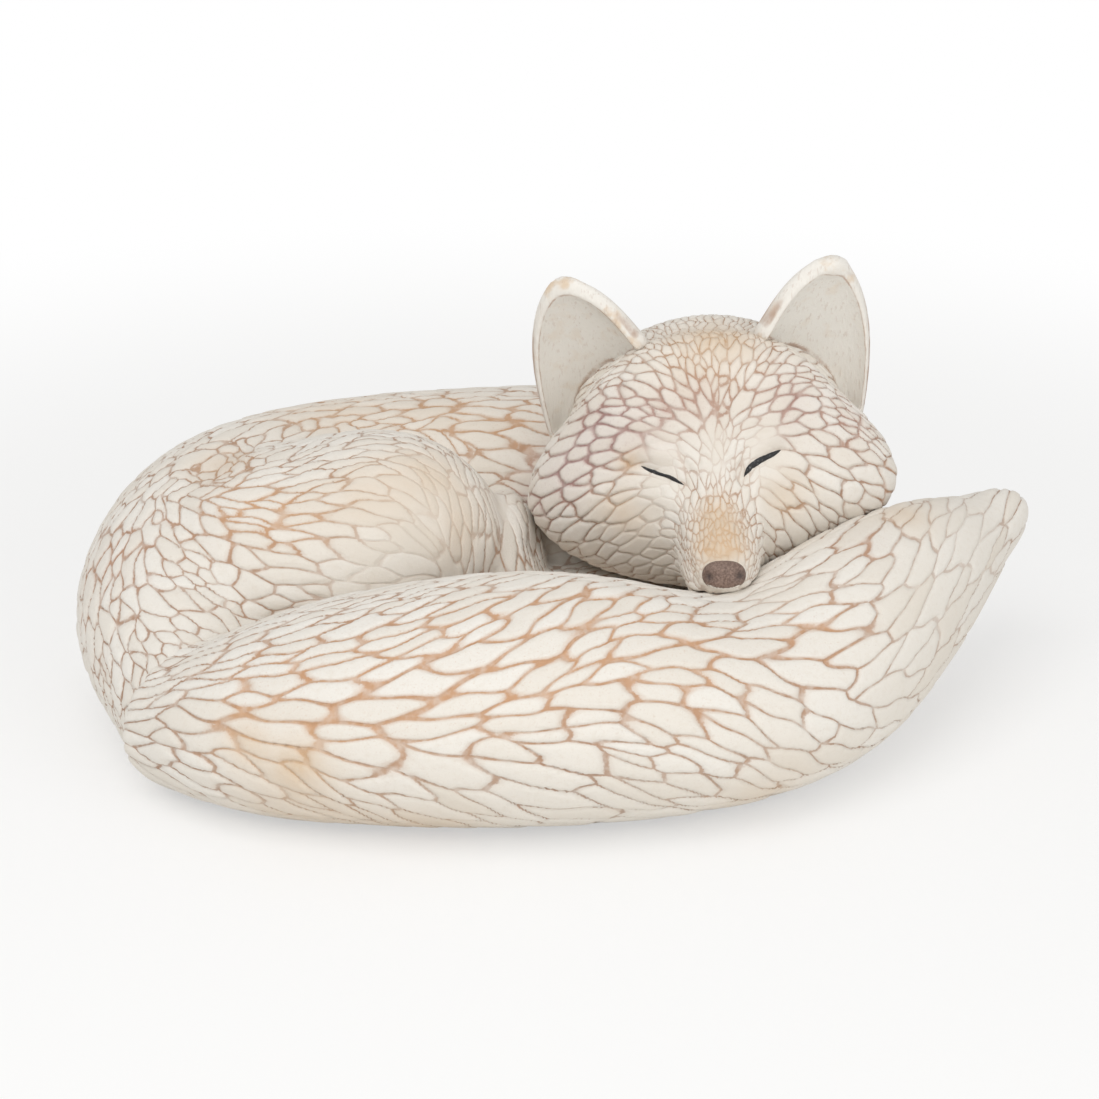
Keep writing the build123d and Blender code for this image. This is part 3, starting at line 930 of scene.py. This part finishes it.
def fur_paint():
    """Cream resin with a brown wash that has run into the grooves between the tufts."""
    tree = paint_tree("fur_paint")
    first, second, third = tree.attribute("tuft_near")
    tones = tree.attribute("tuft_tone")
    rust, mauve, ochre = tree.attribute("wash")
    faded, bare, half_width = tree.attribute("cover")
    near = first.least(second).least(third)
    far = first.most(second).most(third)
    gap = (first + second + third - far - near - near) * half_width
    grain = tree.noise(FUR_GRAIN)
    cloud = tree.noise(FUR_CLOUD)
    drift = tree.step(DRIFT_SPAN, tree.noise(FUR_DRIFT))
    is_first = 1.0 - near.below(first)
    is_second = (1.0 - near.below(second)) * (1.0 - is_first)
    tone = tones[0] * is_first + tones[1] * is_second + tones[2] * (1.0 - is_first - is_second)
    strong = (rust + mauve).held()
    ragged = gap + (grain - NOISE_MEAN) * strong.scaled(RAGGED_BY_WASH)
    pool = tree.step(POOL_SPAN, near + (grain - NOISE_MEAN) * POOL_RAGGED) * strong
    widening = LINE_WIDTH_SHARE + POOL_WIDTH_SHARE * pool + WASH_WIDTH_SHARE * strong * cloud
    width = LINE_WIDTH + half_width * widening
    line = 1.0 - tree.step(LINE_SPAN, ragged / width)
    halo = 1.0 - tree.step(HALO_SPAN, ragged / (width * HALO_WIDTHS))
    strength = (1.0 - FADED_PAINT_LOSS * faded) * (1.0 - bare) * cloud.scaled(STRENGTH_BY_CLOUD)
    wash = tree.mix((rust * RUST_SHARE).held(), BROWN, RUST)
    wash = tree.mix(mauve.held(), wash, MAUVE)
    wash = tree.mix((ochre * OCHRE_SHARE).held(), wash, OCHRE)
    colour = tree.mix((tone * TONE_SHARE + faded * FADED_TONE_SHARE).held(), CREAM, WARM_CREAM)
    colour = tree.mix((ochre * cloud.scaled(OCHRE_BY_CLOUD)).held(), colour, OCHRE)
    colour = tree.mix((mauve * cloud.scaled(MAUVE_BY_CLOUD)).held(), colour, MAUVE)
    dust = tree.step(DUST_SPAN, tree.noise(FUR_DUST))
    colour = tree.mix(dust * DUST_SHARE, colour, WARM_CREAM)
    speckle = tree.step(SPECKLE_SPAN, grain) * strong.scaled(SPECKLE_BY_WASH)
    colour = tree.mix((speckle * strength).held(), colour, wash)
    colour = tree.mix((halo * strength * strong.scaled(HALO_BY_WASH)).held(), colour, wash)
    colour = tree.mix((line * strength * drift.scaled(LINE_BY_DRIFT)).held(), colour, wash)
    height = tree.step(GROOVE_SPAN, gap) * GROOVE_HEIGHT * (1.0 - bare) + grain * GRAIN_HEIGHT
    return tree.surface(colour, FUR_ROUGHNESS, height, FUR_BUMP)


# Noises, spans and strengths of the ears' paint
EAR_HAIR = (0.9 * MM, 3.0, 0.6)
EAR_HAIR_STRETCH = (1.0, 1.0, 0.16)
EAR_CLOUD = (7 * MM, 3.0, 0.6)
EAR_GRAIN = (0.5 * MM, 2.0, 0.6)
EAR_GREY_BY_CLOUD = (0.6, 0.4)
EAR_STAIN_SPAN = (0.5, 0.72)
EAR_STAIN_INSIDE_LOSS = 0.7
EAR_STAIN_SHARE = 0.6
EAR_HAIR_SPAN = (0.56, 0.68)
EAR_HAIR_SHARE = 0.22
EAR_LINE_START = (0.15, 0.4)
EAR_LINE_END = (0.45, 0.75)
EAR_LINE_RAGGED = 0.3
EAR_LINE_CLOUD_SPAN = (0.3, 0.55)
EAR_LINE_SHARE = 0.75
EAR_GRAIN_HEIGHT = 0.3
EAR_ROUGHNESS = 0.85
EAR_BUMP = 0.25 * MM


def ear_paint():
    """Grey-beige inside of an ear, a cream rim with a brown line along it, and faint strokes of hair."""
    tree = paint_tree("ear_paint")
    inside, rim, _ = tree.attribute("wash")
    hair = tree.noise(EAR_HAIR, EAR_HAIR_STRETCH)
    cloud = tree.noise(EAR_CLOUD)
    grain = tree.noise(EAR_GRAIN)
    colour = tree.mix((inside * cloud.scaled(EAR_GREY_BY_CLOUD)).held(), CREAM, EAR_GREY)
    stain = tree.step(EAR_STAIN_SPAN, cloud) * (1.0 - EAR_STAIN_INSIDE_LOSS * inside) * EAR_STAIN_SHARE
    colour = tree.mix(stain.held(), colour, OCHRE)
    colour = tree.mix((tree.step(EAR_HAIR_SPAN, hair) * EAR_HAIR_SHARE).held(), colour, BROWN)
    line = tree.step(EAR_LINE_START, rim + (grain - NOISE_MEAN) * EAR_LINE_RAGGED)
    line = line * (1.0 - tree.step(EAR_LINE_END, rim))
    line = line * tree.step(EAR_LINE_CLOUD_SPAN, cloud) * EAR_LINE_SHARE
    colour = tree.mix(line.held(), colour, BROWN)
    return tree.surface(colour, EAR_ROUGHNESS, hair + grain * EAR_GRAIN_HEIGHT, EAR_BUMP)


# Noise, spans and strengths of the nose's paint
NOSE_GRAIN = (0.6 * MM, 3.0, 0.7)
NOSE_TONE_SPAN = (0.35, 0.7)
NOSTRIL_SHARE = 0.8
NOSE_RIM_HIGHLIGHT_SPAN = (0.7, 0.95)
NOSE_RIM_HIGHLIGHT_RAGGED = 1.3
NOSE_ROUGHNESS = 0.6
NOSE_BUMP = 0.2 * MM


def nose_paint():
    """Dark brown-grey nose whose lower edge is painted paler, as worn paint with a painted highlight on it.
    """
    tree = paint_tree("nose_paint")
    worn_rim_and_highlight, hollow, _ = tree.attribute("wash")
    grain = tree.noise(NOSE_GRAIN)
    colour = tree.mix(tree.step(NOSE_TONE_SPAN, grain), NOSE_DARK, NOSE_LIGHT)
    colour = tree.mix((hollow * NOSTRIL_SHARE).held(), colour, NOSTRIL_DARK)
    # Cream along the lower edge: worn paint with a painted highlight on it
    ragged = worn_rim_and_highlight + (grain - NOISE_MEAN) * NOSE_RIM_HIGHLIGHT_RAGGED
    colour = tree.mix(tree.step(NOSE_RIM_HIGHLIGHT_SPAN, ragged), colour, CREAM)
    return tree.surface(colour, NOSE_ROUGHNESS, grain, NOSE_BUMP)


# Noise, span and strengths of the eye lines' paint
LINE_GRAIN = (0.7 * MM, 2.0, 0.6)
LINE_WORN_AND_HIGHLIGHT_SPAN = (0.55, 0.75)
LINE_ROUGHNESS = 0.5
LINE_BUMP = 0.1 * MM


def eye_paint():
    """Nearly black paint of an eye line with grey flecks, which are worn paint with a painted highlight."""
    tree = paint_tree("eye_paint")
    grain = tree.noise(LINE_GRAIN)
    # Grey flecks on the black line: worn paint with a painted highlight
    colour = tree.mix(tree.step(LINE_WORN_AND_HIGHLIGHT_SPAN, grain), LINE_BLACK, LINE_WORN_AND_HIGHLIGHT)
    return tree.surface(colour, LINE_ROUGHNESS, grain, LINE_BUMP)


# Noise, span and bump of the plain materials
PLAIN_DETAIL = 4.0
PLAIN_NOISE_ROUGHNESS = 0.6
PLAIN_SPAN = (0.3, 0.7)
PLAIN_BUMP = 0.1 * MM


def plain_paint(name, colour, roughness, size, darkening):
    """Plain material whose tone drifts a little."""
    tree = paint_tree(name)
    cloud = tree.noise((size, PLAIN_DETAIL, PLAIN_NOISE_ROUGHNESS))
    darker = tuple(part * darkening for part in colour[:3]) + (1.0,)
    mixed = tree.mix(tree.step(PLAIN_SPAN, cloud), darker, colour)
    return tree.surface(mixed, roughness, cloud, PLAIN_BUMP)


def finish_piece(piece, material):
    """Give a piece its material and tie it to the frame."""
    piece.data.materials.clear()
    piece.data.materials.append(material)
    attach(piece, "root")


def finish_skin(skin, material, node):
    """Store a skin, finish it and let it stand for its CAD node."""
    skin.store()
    finish_piece(skin.piece, material)
    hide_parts(node)


def new_piece(name, points, faces):
    """Object with a mesh of its own."""
    mesh = bpy.data.meshes.new(name)
    mesh.from_pydata([tuple(point) for point in points], [], faces)
    mesh.shade_smooth()
    piece = bpy.data.objects.new(name, mesh)
    bpy.context.scene.collection.objects.link(piece)
    return piece


def ring_faces(rings, spokes):
    """Faces between rings of points that lie one after the other, outward for rings that grow inward."""
    faces = []
    for ring in range(rings - 1):
        for spoke in range(spokes):
            after = (spoke + 1) % spokes
            low = ring * spokes
            high = low + spokes
            faces.append((low + spoke, low + after, high + after, high + spoke))
    return faces


# Bead of an eye line: rings along it, points round it, height in shares of its width, how sudden and how
# small its ends are, and how many rings to each side its direction is evened out over
EYE_STEPS = 28
EYE_SPOKES = 10
EYE_FLATNESS = 0.55
EYE_END_POWER = 8
EYE_END_LEAST = 0.02
EYE_EVEN_REACH = 4


def make_eye_line(name, half_widths, line, tree, material):
    """Tapered bead of paint along a closed eye."""
    line = np.array(line, float)
    share = np.linspace(0, 1, len(line))
    steps = np.linspace(0, 1, EYE_STEPS)
    pixels = np.stack([np.interp(steps, share, line[:, 0]), np.interp(steps, share, line[:, 1])], 1)
    halves = np.interp(steps, np.linspace(0, 1, len(half_widths)), half_widths) * PIXEL
    halves *= np.sqrt(np.clip(1 - (2 * steps - 1) ** EYE_END_POWER, EYE_END_LEAST, 1))
    hits = [seen(tree, x, y) for x, y in pixels]
    centres = np.array([hit[0] for hit in hits])
    normals = np.array([hit[1] for hit in hits])
    shifts = range(-EYE_EVEN_REACH, EYE_EVEN_REACH + 1)
    normals = sum(normals[np.clip(np.arange(EYE_STEPS) + shift, 0, EYE_STEPS - 1)] for shift in shifts)
    normals /= np.linalg.norm(normals, axis=1, keepdims=True)
    side = np.cross(np.gradient(centres, axis=0), normals)
    side /= np.linalg.norm(side, axis=1, keepdims=True)
    points = []
    for centre, normal, across, half in zip(centres, normals, side, halves):
        for spoke in range(EYE_SPOKES):
            angle = math.tau * spoke / EYE_SPOKES
            out = math.cos(angle) * across + EYE_FLATNESS * math.sin(angle) * normal
            points.append(centre + half * out)
    faces = ring_faces(EYE_STEPS, EYE_SPOKES)
    last = (EYE_STEPS - 1) * EYE_SPOKES
    faces.append(tuple(range(EYE_SPOKES))[::-1])
    faces.append(tuple(range(last, last + EYE_SPOKES)))
    finish_piece(new_piece(name, points, faces), material)


# Nose pad: its mesh, how far it stands out, lies back and is sunk, how full it is, and how square
NOSE_RINGS = 26
NOSE_SPOKES = 64
NOSE_RISE = 2.6 * MM
NOSE_SET_BACK = 1.6 * MM
NOSE_SINK = 2.0 * MM
NOSE_FULLNESS = 3
NOSE_SQUARENESS = 0.08
NOSTRIL_DEPTH = 0.65 * MM

# Groove down the nose: half width and span of its start in pixels, and its depth
NOSE_GROOVE_HALF = 2.0
NOSE_GROOVE_START = (-2, 6)
NOSE_GROOVE_DEPTH = 0.25 * MM

# Nose's lower edge, worn and with a painted highlight: where it sets in from the middle out, and from the
# side down
RIM_HIGHLIGHT_OUT = (0.76, 0.9)
RIM_HIGHLIGHT_DOWN = (0.35, 0.75)


def make_nose(tree, material):
    """Nose pad with its two nostrils, sunk a little into the muzzle."""
    cx, cy = NOSE_PLACE
    middle, normal = seen(tree, cx, cy)
    middle = middle - NOSE_SET_BACK * normal
    points = []
    wash = []
    for ring in range(NOSE_RINGS):
        share = 1 - ring / (NOSE_RINGS - 1)
        for spoke in range(NOSE_SPOKES):
            angle = math.tau * spoke / NOSE_SPOKES
            squareness = 1.0 + NOSE_SQUARENESS * math.cos(2 * angle)
            x = cx + NOSE_HALF[0] * share * math.cos(angle)
            y = cy + NOSE_HALF[1] * share * math.sin(angle) * squareness
            hollow = sum(math.exp(-(((x - u) ** 2 + (y - v) ** 2) / NOSTRIL_RADIUS**2)) for u, v in NOSTRILS)
            groove = bell((x - cx) / NOSE_GROOVE_HALF) * smooth_step(*NOSE_GROOVE_START, y - cy)
            rise = NOSE_RISE * math.sqrt(1 - share**NOSE_FULLNESS)
            rise -= NOSTRIL_DEPTH * hollow + NOSE_GROOVE_DEPTH * groove
            origin, direction = (np.array(part) for part in photo_ray(x, y))
            reach = (middle - origin) @ normal / (direction @ normal)
            points.append(origin + reach * direction + rise * normal)
            # Lower edge that the paint makes cream: worn paint with a painted highlight on it
            worn_rim_and_highlight = smooth_step(*RIM_HIGHLIGHT_OUT, share) * smooth_step(*RIM_HIGHLIGHT_DOWN, math.sin(angle))
            wash.append((worn_rim_and_highlight, hollow, 0.0))
    faces = ring_faces(NOSE_RINGS, NOSE_SPOKES)
    under = len(points)
    points.append(np.mean(points[:NOSE_SPOKES], axis=0) - NOSE_SINK * normal)
    wash.append((0.0, 0.0, 0.0))
    for spoke in range(NOSE_SPOKES):
        faces.append(((spoke + 1) % NOSE_SPOKES, spoke, under))
    piece = new_piece("nose", points, faces)
    write_attribute(piece.data, "POINT", "wash", np.array(wash))
    cleaner = bmesh.new()
    cleaner.from_mesh(piece.data)
    bmesh.ops.remove_doubles(cleaner, verts=cleaner.verts, dist=NOSE_MERGE_DISTANCE)
    bmesh.ops.recalc_face_normals(cleaner, faces=cleaner.faces)
    cleaner.to_mesh(piece.data)
    cleaner.free()
    piece.data.shade_smooth()
    finish_piece(piece, material)


# Nodes of the ears and the names of their pieces
EARS = (("ear_left", "left_ear"), ("ear_right", "right_ear"))

# Root of an ear: distances from the head between which it sinks in, and how far
EAR_ROOT_REACH = 1.2 * MM
EAR_ROOT_NEAR = 0.5 * EAR_ROOT_REACH
EAR_ROOT_FAR = 2 * EAR_ROOT_REACH
EAR_ROOT_SINK = 2.2 * MM

# Inside and rim of an ear, told apart by how squarely the skin faces the camera and by how it bends, which
# is measured in millimetres against a smoothed copy
EAR_BLUR_ROUNDS = 60
EAR_INSIDE_FACING = (-0.1, 0.3)
EAR_INSIDE_BEND = (-0.5, -0.1)
EAR_RIM_PERCENT = 92


def sink_root(ear, head_surface):
    """Let the ear's root run on into the head, so that no gap shows there."""
    for index, point in enumerate(ear.points):
        place, normal, _, distance = head_surface.find_nearest(Vector(point), EAR_ROOT_FAR)
        if place is not None:
            share = 1 - smooth_step(EAR_ROOT_NEAR, EAR_ROOT_FAR, distance)
            ear.points[index] = point - share * EAR_ROOT_SINK * np.array(normal)


def mark_ear(ear):
    """Tell the paint where the inside and the rim of an ear are."""
    normals = ear.normals()
    bend = ((ear.relaxed(EAR_BLUR_ROUNDS) - ear.points) * normals).sum(1) / MM
    inside = smooth_step(*EAR_INSIDE_FACING, normals @ CAMERA_BACK) * smooth_step(*EAR_INSIDE_BEND, bend)
    rim = smooth_step(0.0, np.percentile(-bend, EAR_RIM_PERCENT), -bend)
    write_attribute(ear.mesh, "POINT", "wash", np.stack([inside, rim, np.zeros_like(rim)], 1))


def make_castings():
    """Body, tail and head with their fur, and the head's surface before and after carving."""
    body_shape = merged_copy("body_shell")
    drop_inside(body_shape)
    tail_shape = merged_copy("tail_casting")
    run_into_rump(tail_shape)
    body = Skin("body", body_shape, BODY_SPACING, BODY_ROUNDS)
    tail = Skin("tail", tail_shape, TAIL_SPACING, TAIL_ROUNDS)
    head = Skin("head", merged_copy("head_casting"), HEAD_SPACING, HEAD_ROUNDS)
    sculpt(body, BODY_SWELLS)
    sculpt(tail, TAIL_SWELLS)
    even_out(head, CROWN_STEP, CROWN_ROUNDS)
    sculpt(head, FACE_SWELLS, FACE_CREASES)
    rng = np.random.default_rng(RANDOM_SEED)
    grow_fur(body, BODY_STROKES, HIDDEN_BODY_STROKES, BODY_TIP_SHARE, rng)
    grow_fur(tail, TAIL_STROKES, HIDDEN_TAIL_STROKES, TAIL_TIP_SHARE, rng)
    smooth_head = grow_fur(head, HEAD_STROKES, HIDDEN_HEAD_STROKES, HEAD_TIP_SHARE, rng)
    paint = fur_paint()
    for skin, node in ((body, "body_shell"), (tail, "tail_casting"), (head, "head_casting")):
        finish_skin(skin, paint, node)
    return smooth_head, head.tree()


def make_face(head_surface):
    """Eye lines and nose on the carved head."""
    black = eye_paint()
    for name, (half_widths, line) in EYE_LINES.items():
        make_eye_line(name, half_widths, line, head_surface, black)
    make_nose(head_surface, nose_paint())


def make_ears(head_surface):
    """Ears with their roots in the uncarved head."""
    material = ear_paint()
    for node, name in EARS:
        ear = Skin(name, merged_copy(node), EAR_SPACING, EAR_ROUNDS)
        sculpt(ear, EAR_TIPS)
        sink_root(ear, head_surface)
        mark_ear(ear)
        finish_skin(ear, material, node)


# Nodes shown as the frame has them: the material's name, colour and roughness, the size of its spots, and
# the share of the colour that is left in the dark ones
SMALL_PARTS = {
    "foot_pads": ("black_rubber", RUBBER_BLACK, 0.7, 2 * MM, 0.8),
    "base_plate": ("bare_resin", RESIN_BEIGE, 0.8, 5 * MM, 0.9),
    "bond_pins": ("dowel_steel", STEEL_GREY, 0.35, 3 * MM, 0.9),
}


def make_small_parts():
    """Materials of the nodes that are shown as the frame has them."""
    for node, finish in SMALL_PARTS.items():
        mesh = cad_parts[node].data
        mesh.materials.clear()
        mesh.materials.append(plain_paint(*finish))


# Floor: its size, the distances between which it turns plain white, and how white it is near the figure
FLOOR_SIZE = 6.0
FLOOR_SPAN = (0.22, 0.55)
FLOOR_GLOW = 0.5


def make_floor():
    """Pale floor that keeps the shadow near the figure and is plain white further off."""
    half = FLOOR_SIZE / 2
    corners = [(-half, -half, 0), (half, -half, 0), (half, half, 0), (-half, half, 0)]
    floor = new_piece("floor", corners, [(0, 1, 2, 3)])
    tree = paint_tree("floor")
    distance = tree.value("ShaderNodeVectorMath", {"operation": "LENGTH"}, {0: tree.place()}, "Value")
    near = tree.value("ShaderNodeBsdfDiffuse", {}, {"Color": FLOOR_PALE})
    far = tree.value("ShaderNodeEmission", {}, {"Color": WHITE, "Strength": 1.0})
    whiteness = tree.step(FLOOR_SPAN, distance).scaled((FLOOR_GLOW, 1.0 - FLOOR_GLOW)) * tree.camera_ray()
    mixed = tree.value("ShaderNodeMixShader", {}, {0: whiteness, 1: near, 2: far})
    tree.add("ShaderNodeOutputMaterial", {}, {0: mixed})
    floor.data.materials.append(tree.holder)


# Lamps: name, place, size and power
LAMPS = (
    ("key", (-0.35, -0.7, 1.1), 0.9, 6.8),
    ("fill", (0.7, -1.0, 0.45), 1.0, 4.0),
)

# Strength of the surroundings as light and as the camera sees them
SKY_LIGHT = 0.6
SKY_SEEN = 1.0


def set_up(thing, place, back):
    """Put a lamp or the camera at a place, looking away from a direction."""
    thing.location = place
    thing.rotation_mode = "QUATERNION"
    thing.rotation_quaternion = back.to_track_quat("Z", "Y")
    bpy.context.scene.collection.objects.link(thing)


def make_lamps():
    """Soft lamps that look at the figure."""
    for name, place, size, power in LAMPS:
        data = bpy.data.lights.new(name, "AREA")
        data.size = size
        data.energy = power
        set_up(bpy.data.objects.new(name, data), place, Vector(place) - CAMERA_TARGET)


def make_world():
    """White surroundings that give less light than they show."""
    world = bpy.data.worlds.new("studio")
    tree = Tree(world)
    strengths = {"Value": tree.camera_ray(), "To Min": SKY_LIGHT, "To Max": SKY_SEEN}
    strength = tree.value("ShaderNodeMapRange", {}, strengths)
    sky = tree.value("ShaderNodeBackground", {}, {"Color": WHITE, "Strength": strength})
    tree.add("ShaderNodeOutputWorld", {}, {0: sky})
    bpy.context.scene.world = world


def make_camera():
    """Camera at the photo's viewing angle."""
    data = bpy.data.cameras.new("camera")
    data.lens = LENS
    data.sensor_width = SENSOR
    camera = bpy.data.objects.new("camera", data)
    back = Vector(CAMERA_BACK)
    set_up(camera, CAMERA_TARGET + CAMERA_DISTANCE * back, back)
    bpy.context.scene.camera = camera


smooth_head, carved_head = make_castings()
make_face(carved_head)
make_ears(smooth_head)
make_small_parts()
make_floor()
make_lamps()
make_world()
make_camera()
bpy.context.scene.view_settings.view_transform = "Standard"
